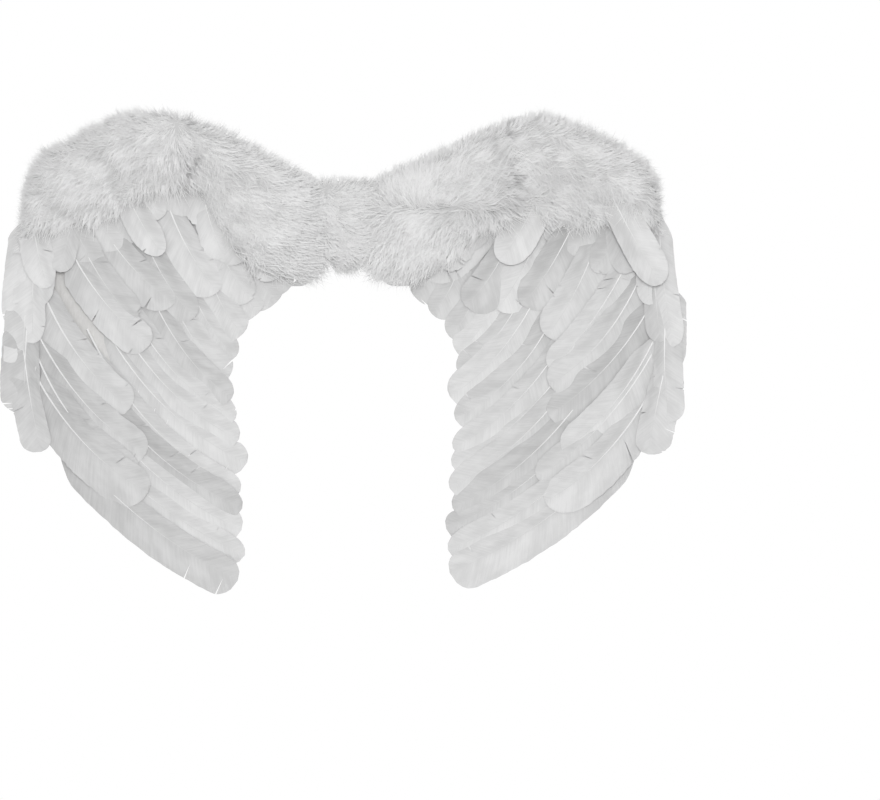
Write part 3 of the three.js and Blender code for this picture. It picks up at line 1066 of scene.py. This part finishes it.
def makeDown():
    made = {}
    for index, (sideName, side) in enumerate(sides.items()):
        outline, upper = wingDownOutline(sideName)
        base = solidSheet(
            f"{sideName}_down_backing", outline, downLook["spacing"],
            lambda places, near: domeHeight(places, near, side, upper),
            lambda places, near: np.full(len(places), downLook["rear"]), finishes["down"],
        )
        combed(
            base, flows[sideName], outline, upper,
            {
                "inner": lambda places: (np.abs(places[:, 0]) < 0.150) * 1.0,
                "outer": lambda places: (np.abs(places[:, 0]) >= 0.150) * 1.0,
            },
        )
        made[f"{sideName}_down_backing"] = base
        for part in ("inner", "outer"):
            name = f"{sideName}_{part}_down"
            made[name] = grow(name, base, part, 40 + index)
    look = bridgeDownLook
    reach, top = look["reach"], look["top"]
    shape = [(-reach, top), (reach, top)] + look["lowerEdge"]
    outline = np.array(shape)[::-1]
    fine = np.vstack([
        np.linspace(here, there, 9)[:-1] for here, there in zip(outline, np.roll(outline, -1, axis=0))
    ])
    upper = np.stack([np.linspace(-reach, reach, 20), np.full(20, top)], axis=1)
    base = solidSheet(
        "bridge_down_backing", fine, downLook["spacing"],
        lambda places, near: domeHeight(places, near, 0, upper) - look["lower"],
        lambda places, near: np.full(len(places), look["rear"]), finishes["down"],
    )
    combed(
        base, bridgeFlow, fine, upper,
        {
            "left": lambda places: (places[:, 0] < 0) * 1.0,
            "right": lambda places: (places[:, 0] >= 0) * 1.0,
            "tassel": lambda places: np.where(np.abs(places[:, 0]) < look["tasselReach"], 1.0, 0.0)
            * np.where(places[:, 2] < look["tasselTop"], 1.0, 0.0),
        },
    )
    made["bridge_down_backing"] = base
    for index, sideName in enumerate(sides):
        name = f"{sideName}_bridge_down"
        made[name] = grow(name, base, sideName, 77 + index, Length=look["length"])
    made["bridge_down_tuft"] = grow("bridge_down_tuft", base, "tassel", 5, **look["tassel"])
    return made


downPieces = makeDown()
print("stage: down grown")


feltLook = {
    "rear": 0.0083,
    "thickness": 0.0012,
    "waves": 0.0003,
    "wireRidge": 0.0008,  # how far the wire shows through
    "dip": 0.0016,  # how much deeper the tongue runs under the bridge's cover
    "tongueReach": 0.018,
    "tongueHeight": 0.018,
    "spacing": 0.0045,
    "pressed": 0.0003,  # how far the seam presses the edge in
    "stitchStep": 0.0075,
}
bridgeFeltLook = {
    "width": 0.0756, "height": 0.065, "corner": 0.006, "rear": 0.0083, "thickness": 0.0010,
    "pressed": 0.0003, "waves": 0.0001, "spacing": 0.0035, "stitchStep": 0.0068,
}
panelShares = [
    [(0.16, 0.125), (0.32, 0.17), (0.53, 0.195), (0.7, 0.172), (0.86, 0.1), (0.925, -0.04)],
    [(0.93, -0.22), (0.88, -0.37), (0.77, -0.47)],
    [(0.65, -0.41), (0.55, -0.3), (0.42, -0.19), (0.25, -0.1), (0.11, -0.075)],
]
wireShares = [
    (0.17, 0.098), (0.33, 0.145), (0.53, 0.168), (0.68, 0.148), (0.82, 0.082), (0.885, -0.045),
    (0.89, -0.215), (0.845, -0.35), (0.765, -0.43), (0.68, -0.38), (0.59, -0.27), (0.45, -0.155),
    (0.26, -0.068),
]


def panelOutline(side, tongue=True):
    hinge = side * (foldX + 0.0006)
    inner = [np.array([hinge, 0.031]), np.array([hinge, -0.031])]
    shares = [point for part in panelShares for point in part]
    around = [spot(side, across, up) for across, up in shares]
    line = smoothLine([inner[0]] + around + [inner[1]], 150)
    low, reach = feltLook["tongueHeight"], side * feltLook["tongueReach"]
    corners = [
        (hinge, -low - 0.004), (hinge - side * 0.003, -low), (reach, -low), (reach, low),
        (hinge - side * 0.003, low), (hinge, low + 0.004),
    ]
    if tongue:
        line = np.vstack([line, finePath(corners, 0.004)])
    return line if side > 0 else line[::-1]


def finePath(corners, step):
    corners = [np.array(corner, float) for corner in corners]
    points = []
    for here, there in zip(corners, corners[1:]):
        count = max(1, round(float(np.linalg.norm(there - here)) / step))
        points += [here + (there - here) * part / count for part in range(count)]
    return np.array(points + [corners[-1]])


def wireLine(side):
    shares = [spot(side, across, up) for across, up in wireShares]
    edge = side * (foldX + 0.002)
    return smoothLine([np.array([edge, 0.022])] + shares + [np.array([edge, -0.022])], 160)


def feltCover(sideName, side):
    wire = wireLine(side)

    def rearOf(places, near):
        look = feltLook
        away = np.linalg.norm(places[:, None, :] - wire[None], axis=-1).min(axis=1)
        ridge = look["wireRidge"] * np.exp(-((away / 0.003) ** 2))
        dip = look["dip"] * (1 - softStep(np.abs(places[:, 0]), foldX + 0.0005, foldX + 0.006))
        waves = np.array([noise.noise(Vector((x * 30, z * 30, side))) for x, z in places])
        pressed = look["pressed"] * (1 - softStep(near, 0.0, 0.005))
        return look["rear"] + dip + pressed - ridge + look["waves"] * waves

    return solidSheet(
        f"{sideName}_felt_cover", panelOutline(side), feltLook["spacing"],
        lambda places, near: rearOf(places, near) + feltLook["thickness"] * 0.9, rearOf,
        finishes["felt"],
    )


def roundedOutline(width, height, corner, steps):
    points = []
    for quarter in range(4):
        across = (width / 2 - corner) * (1 if quarter in (0, 3) else -1)
        up = (height / 2 - corner) * (1 if quarter in (0, 1) else -1)
        for step in range(steps + 1):
            angle = math.pi / 2 * (quarter + step / steps)
            points.append((across + corner * math.cos(angle), up + corner * math.sin(angle)))
    return points


def bridgeOutline():
    look = bridgeFeltLook
    corners = roundedOutline(look["width"], look["height"], look["corner"], 5)
    return finePath(corners + corners[:1], 0.004)[:-1]


def bridgeCover():
    outline, look = bridgeOutline(), bridgeFeltLook

    def rearOf(places, near):
        waves = np.array([noise.noise(Vector((x * 40, z * 40, 5))) for x, z in places])
        pressed = look["pressed"] * (1 - softStep(near, 0, 0.004))
        return look["rear"] + pressed + look["waves"] * waves

    piece = solidSheet(
        "bridge_felt_cover", outline, look["spacing"],
        lambda places, near: rearOf(places, near) + look["thickness"], rearOf, finishes["felt"],
    )
    return piece, outline


def tubeRing(centre, across, up, reach, corners):
    return [
        centre + across * reach * math.cos(angle) + up * reach * math.sin(angle)
        for angle in (2 * math.pi * corner / corners for corner in range(corners))
    ]


def tubeMesh(name, path, reach, corners, material, closed=False):
    # a round tube along a path of 3-D points, with capped or joined ends
    path = [Vector(point) for point in path]
    count, vertices = len(path), []
    up = Vector((0, 1, 0))
    for index, point in enumerate(path):
        before = path[index - 1] if index or closed else point
        after = path[(index + 1) % count] if index < count - 1 or closed else point
        along = (after - before).normalized()
        across = along.cross(up if abs(along.y) < 0.98 else Vector((0, 0, 1))).normalized()
        vertices += tubeRing(point, across, across.cross(along), reach, corners)
    faces = ringFaces(count, corners, closed)
    mesh = newMesh(name, [tuple(vertex) for vertex in vertices], faces, material)
    return bpy.data.objects.new(name, outwards(mesh))


stitchShapes = {
    "whip": tubeMesh(
        "whip_stitch",
        [(0.0010 - 0.0004 * step, -0.0040 + 0.00088 * step,
          -0.0004 + 0.0010 * math.sin(math.pi * step / 5)) for step in range(6)],
        0.00033, 6, finishes["thread"],
    ),
    "running": tubeMesh(
        "running_stitch",
        [(-0.0012 + 0.0006 * step, 0,
          -0.0002 + 0.0005 * math.sin(math.pi * step / 4)) for step in range(5)],
        0.00026, 6, finishes["thread"],
    ),
}


def stitchTree():
    # lays a stitch at even steps along a path, flat against a face that looks along +Y
    start, sockets, given = newTree(
        "lay_stitches",
        {"Path": "Geometry", "Step": "Float", "Stitch": "Object", "Facing": "Vector"}, "Stitches",
    )
    line = start.node("GeometryNodeMeshToCurve", None, {"Mesh": given["Path"]})
    line = start.node(
        "GeometryNodeResampleCurve", {"mode": "LENGTH"}, {"Curve": line, "Length": given["Step"]}
    )
    facing = facingBoth(start, "X", start.node("GeometryNodeInputTangent"), given["Facing"])
    shape = start.node("GeometryNodeObjectInfo", None, {"Object": given["Stitch"]}, output="Geometry")
    laid = start.node(
        "GeometryNodeInstanceOnPoints", None,
        {"Points": line, "Instance": shape, "Rotation": facing, "Scale": chance(start, 0.88, 1.12, 3)},
    )
    laid = start.node("GeometryNodeRealizeInstances", None, {"Geometry": laid})
    finishTree(start, laid, finishes["thread"], "Stitches")
    return start.tree, sockets


stitching, stitchInputs = stitchTree()


def stitches(name, paths, kind, step, facing=(0, 1, 0)):
    vertices, edges = [], []
    for path in paths:
        first = len(vertices)
        vertices += [tuple(point) for point in path]
        edges += [(first + index, first + index + 1) for index in range(len(path) - 1)]
    mesh = bpy.data.meshes.new(name + "_path")
    mesh.from_pydata(vertices, edges, [])
    path = newPiece(name + "_path", mesh)
    modifier = path.modifiers.new("stitches", "NODES")
    modifier.node_group = stitching
    modifier[stitchInputs["Step"]] = step
    modifier[stitchInputs["Stitch"]] = stitchShapes[kind]
    modifier[stitchInputs["Facing"]] = facing
    made = frozenMesh(path)
    bpy.data.objects.remove(path)
    made.name = name
    return newPiece(name, made)


def makeCovers():
    made = {}
    for sideName, side in sides.items():
        made[f"{sideName}_felt_cover"] = feltCover(sideName, side)
        depth = -feltLook["rear"] - 0.0001
        path = [(x, depth, z) for x, z in panelOutline(side, tongue=False)[::-1]]
        name = f"{sideName}_felt_stitches"
        made[name] = stitches(name, [path], "whip", feltLook["stitchStep"])
    cover, outline = bridgeCover()
    made["bridge_felt_cover"] = cover
    depth = -bridgeFeltLook["rear"] - 0.0001
    path = [(x, depth, z) for x, z in outline[::-1]]
    name = "bridge_felt_stitches"
    made[name] = stitches(name, [path + path[:1]], "whip", bridgeFeltLook["stitchStep"])
    return made


padLook = {
    "width": 0.040, "height": 0.058, "front": 0.0079, "corner": 0.006,
    "inset": 0.002,  # of the filling from the seam
    "filling": (-0.0062, -0.0020),
    "cell": 0.0016,
    "pressure": 4.0,
    "frames": 20,
    "swell": 0.0022,  # how far the filling may push the cloth
    "crown": 0.0022,
    "seam": (0.0040, 0.0009),  # its depth and radius
}


def roundedBox(name, width, height, near, far, corner):
    outline = roundedOutline(width, height, corner, 5)
    count = len(outline)
    vertices = [(x, near, z) for x, z in outline] + [(x, far, z) for x, z in outline]
    faces = [tuple(range(count)), tuple(reversed(range(count, 2 * count)))]
    for index in range(count):
        beside = (index + 1) % count
        faces.append((beside, index, index + count, beside + count))
    return newPiece(name, newMesh(name, vertices, faces))


def makePad():
    look = padLook
    wide, high = look["width"] - 2 * look["inset"], look["height"] - 2 * look["inset"]
    piece = roundedBox("back_cushion", wide, high, *look["filling"], look["corner"])
    bpy.context.view_layer.objects.active = piece
    remesh = piece.modifiers.new("even", "REMESH")
    remesh.mode = "VOXEL"
    remesh.voxel_size = look["cell"]
    applyModifiers(piece)
    start = meshPlaces(piece)
    cloth = piece.modifiers.new("swell", "CLOTH")
    cloth.settings.use_pressure = True
    cloth.settings.uniform_pressure_force = look["pressure"]
    cloth.settings.effector_weights.gravity = 0.0
    scene = bpy.context.scene
    for step in range(1, look["frames"] + 1):
        scene.frame_set(step)
    applyModifiers(piece)
    scene.frame_set(1)
    moved = meshPlaces(piece)
    offset = moved - start
    far = np.linalg.norm(offset, axis=1, keepdims=True)
    moved = start + offset * np.minimum(1, look["swell"] / np.maximum(far, 1e-9))
    # the cushion's middle crowns towards the back and its edge pulls in to the seam
    crown = np.clip(1 - (moved[:, 0] / (look["width"] / 2)) ** 2, 0, 1)
    crown *= np.clip(1 - (moved[:, 2] / (look["height"] / 2)) ** 2, 0, 1)
    rearward = moved[:, 1] > -0.0041
    moved[:, 1] += np.where(rearward, look["crown"] * np.sqrt(crown) - 0.0004, 0)
    moved[:, 1] = np.clip(moved[:, 1], -look["front"], 0.0002)
    piece.data.vertices.foreach_set("co", moved.astype(np.float32).ravel())
    smooth = piece.modifiers.new("finer", "SUBSURF")
    smooth.levels = smooth.render_levels = 1
    applyModifiers(piece)
    piece.data.materials.clear()
    piece.data.materials.append(finishes["knit"])
    piece.data.polygons.foreach_set("use_smooth", [True] * len(piece.data.polygons))
    return piece


def applyModifiers(piece):
    # keeps what the modifiers made as the piece's own mesh
    mesh = frozenMesh(piece)
    piece.modifiers.clear()
    piece.data = mesh


def seamRing(name, depth, reach):
    wide, high = padLook["width"] - 0.001, padLook["height"] - 0.001
    corners = roundedOutline(wide, high, padLook["corner"], 6)
    path = [(x, -depth, z) for x, z in finePath(corners + corners[:1], 0.002)[:-1]]
    piece = tubeMesh(name, path, reach, 8, finishes["knit"], closed=True)
    bpy.context.scene.collection.objects.link(piece)
    return piece


elasticLook = {
    "width": 0.015, "thickness": 0.0012, "ribs": 5, "ribDepth": 0.00022, "restAngle": 30.0,
    "radius": 0.055, "reach": 0.045, "start": 0.012, "tabEnd": 0.0150, "tabTop": 0.0310,
    "stitchInset": 0.0016, "stitchStep": 0.0027,
}


def loopPath():
    # (out, up) pairs in the loop's own plane, from the top sewn end round to the bottom one
    look = elasticLook
    joinUp = math.sqrt(look["radius"] ** 2 - (look["reach"] - look["start"]) ** 2)
    slope = (look["reach"] - look["start"]) / look["radius"]
    bendUp = joinUp - look["start"] * slope / (joinUp / look["radius"])
    points = [(0, up) for up in np.linspace(look["tabEnd"], look["tabTop"], 6)]
    for share in np.linspace(0, 1, 9)[1:]:
        out = share ** 2 * look["start"]
        up = (1 - share) ** 2 * look["tabTop"] + 2 * share * (1 - share) * bendUp + share ** 2 * joinUp
        points.append((out, up))
    first = math.atan2(joinUp, look["start"] - look["reach"])
    for angle in np.linspace(first, -first, 66)[1:-1]:
        points.append((look["reach"] + look["radius"] * math.cos(angle), look["radius"] * math.sin(angle)))
    upper = points[:14]
    points += [(out, -up) for out, up in reversed(upper)]
    return np.array(points)


def makeLoop(sideName, side):
    look = elasticLook
    path = loopPath()
    angle = math.radians(look["restAngle"])
    outward = np.array([side * math.sin(angle), math.cos(angle), 0])
    steps = np.linalg.norm(np.diff(path, axis=0), axis=1)
    along = np.concatenate([[0], np.cumsum(steps)])
    profile = []
    lines = look["ribs"] * 4
    for face in (1, -1):
        for line in range(lines + 1):
            across = (line / lines * 2 - 1) * face
            wave = math.cos(2 * math.pi * look["ribs"] * line / lines)
            ridge = look["ribDepth"] * (0.5 - 0.5 * wave)
            taper = 1 - 0.35 * abs(across) ** 12
            profile.append((across * look["width"] / 2, face * (look["thickness"] / 2 * taper - ridge)))
    vertices, weave = [], []
    for index, (out, up) in enumerate(path):
        before, after = path[max(index - 1, 0)], path[min(index + 1, len(path) - 1)]
        run = after - before
        run = run / np.linalg.norm(run)
        turned = softStep(np.array(out), 0.0, look["start"])
        twist = angle * float(turned)
        across = np.array([side * math.cos(twist), -math.sin(twist), 0])
        facing = outward * run[1] + np.array([0, 0, -run[0]])
        if out < look["start"]:
            flat = np.array([0, 1, 0]) if run[1] > 0 else np.array([0, -1, 0])
            mixed = flat * (1 - float(turned)) + facing * float(turned)
            facing = mixed / np.linalg.norm(mixed)
        middle = np.array([side * loopX, loopY, 0]) + outward * out + np.array([0, 0, up])
        for wide, high in profile:
            vertices.append(tuple(middle + across * wide + facing * high))
            weave.append((along[index] / mm, wide / mm, 0))
    faces = ringFaces(len(path), len(profile))
    name = f"{sideName}_arm_loop"
    mesh = outwards(newMesh(name, vertices, faces, finishes["elastic"]), crease=50)
    writeValues(mesh, "weave", "FLOAT_VECTOR", weave)
    print(f"{sideName} loop is {along[-1] / mm:.0f} mm long")
    return newPiece(name, mesh), outward


def loopStitches(sideName, side):
    # a sewn box with a cross at each end of the loop
    look = elasticLook
    inset, paths = look["stitchInset"], []
    reach = look["width"] / 2 - inset
    depth = loopY + look["thickness"] / 2 - 0.0001
    for end in (1, -1):
        low, high = (look["tabEnd"] + inset) * end, (look["tabTop"] - inset) * end
        middle = side * loopX
        box = [
            (middle - reach, low), (middle + reach, low), (middle + reach, high), (middle - reach, high),
        ]
        around = list(zip(box, box[1:] + box[:1]))
        for here, there in around + [(box[0], box[2]), (box[1], box[3])]:
            paths.append([(x, depth, z) for x, z in finePath([here, there], 0.002)])
    return stitches(f"{sideName}_loop_stitches", paths, "running", look["stitchStep"])


coverPieces = makeCovers()
cushion = makePad()
cushionSeam = seamRing("back_cushion_seam", *padLook["seam"])
loops = {sideName: makeLoop(sideName, side) for sideName, side in sides.items()}
loopThread = {sideName: loopStitches(sideName, side) for sideName, side in sides.items()}
print("stage: covers, pad and loops made")


studio = {
    "distance": 3.0,
    "planeWidth": 0.836,  # how much of the wings' plane the view spans
    "aim": (0.0893, -0.1653),
    "worldLight": 0.47,
    "lamps": {  # power, size, place
        "frontSoftbox": (38.5, 1.1, (0.1, -2.8, 0.45)),
        "topSoftbox": (13.0, 1.6, (0.0, -0.7, 2.3)),
        "rearSoftbox": (30.0, 1.8, (-0.5, 2.6, 0.9)),
    },
    "floorDrop": 1.35,
}


def makeStudio():
    scene = bpy.context.scene
    scene.view_settings.view_transform = "Standard"
    world = bpy.data.worlds.new("studio")
    world.use_nodes = True
    scene.world = world
    world.node_tree.nodes.clear()
    start = Flow(world.node_tree)
    seen = start.node("ShaderNodeLightPath")
    strength = seen * (1.0 - studio["worldLight"]) + studio["worldLight"]
    sky = start.node("ShaderNodeBackground", None, {"Color": (1, 1, 1, 1), "Strength": strength})
    start.node("ShaderNodeOutputWorld", None, {"Surface": sky})

    for name, (power, size, place) in studio["lamps"].items():
        lamp = bpy.data.lights.new(name, "AREA")
        lamp.energy = power
        lamp.size = size
        holder = bpy.data.objects.new(name, lamp)
        holder.location = place
        aim = Vector((0, 0, -0.1)) - holder.location
        holder.rotation_euler = aim.to_track_quat("-Z", "Y").to_euler()
        scene.collection.objects.link(holder)

    camera = bpy.data.cameras.new("camera")
    camera.sensor_width = 36.0
    camera.lens = camera.sensor_width * studio["distance"] / studio["planeWidth"]
    camera.clip_end = 50
    eye = bpy.data.objects.new("camera", camera)
    eye.location = (studio["aim"][0], -studio["distance"] + foldY, studio["aim"][1])
    eye.rotation_euler = (math.radians(90), 0, 0)
    scene.collection.objects.link(eye)
    scene.camera = eye

    material, start = newMaterial("pale_floor")
    start.surface({"Base Color": grey(0.85), "Roughness": 0.9})
    reach, drop = 6.0, -studio["floorDrop"]
    corners = [(-reach, -reach, drop), (reach, -reach, drop), (reach, reach, drop), (-reach, reach, drop)]
    floor = newPiece("floor", newMesh("floor", corners, [(0, 1, 2, 3)], material))


makeStudio()
print("stage: studio set")


def declareSheet(outline):
    # the felt is cut to its outline and sewn down flat; this works out the area inside the outline and keeps
    # nothing
    outline = np.asarray(outline)
    beside = np.roll(outline, -1, axis=0)
    area = abs(float((outline[:, 0] * beside[:, 1] - beside[:, 0] * outline[:, 1]).sum())) / 2


def cross(piece):
    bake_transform(piece)


def numberedNodes(start):
    return [name for name in frame["nodes"] if name.startswith(start)]


for (sideName, rowName), piece in featherPieces.items():
    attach(piece, f"{sideName}_wing")
    if rowName in ("flight", "covert"):
        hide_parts(*numberedNodes(f"{sideName}_{rowName}_feather"))
    if rowName == "edge":
        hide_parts(f"{sideName}_short_feathers")

for sideName, side in sides.items():
    for name, piece in downPieces.items():
        if name.startswith(sideName):
            cross(piece)
    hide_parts(f"{sideName}_down_trim")
    cover = coverPieces[f"{sideName}_felt_cover"]
    cross(cover)
    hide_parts(f"{sideName}_back_cover")
    declareSheet(panelOutline(side))
    loop, outward = loops[sideName]
    cross(loop)
    ends = [f"{sideName}_strap_{end}_end" for end in ("top", "bottom")]
    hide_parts(f"{sideName}_strap", *ends)
    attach(coverPieces[f"{sideName}_felt_stitches"], f"{sideName}_wing")

for piece, slot in (
    (coverPieces["bridge_felt_cover"], "felt"), (coverPieces["bridge_felt_stitches"], "felt"),
    (loopThread["left"], "elastic"), (loopThread["right"], "elastic"),
    (cushion, "pad_cloth"), (cushionSeam, "pad_cloth"),
    (downPieces["bridge_down_tuft"], "down"), (downPieces["bridge_down_backing"], "down"),
):
    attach(piece, "bridge")
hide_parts("bridge_cover")
declareSheet(bridgeOutline())
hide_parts("back_pad")
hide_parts("bridge_down_trim")

for name in frame["nodes"]:
    for kind in ("card", "wire"):
        if name.endswith(kind):
            for slot in bpy.data.objects[name].material_slots:
                slot.material = finishes[kind]
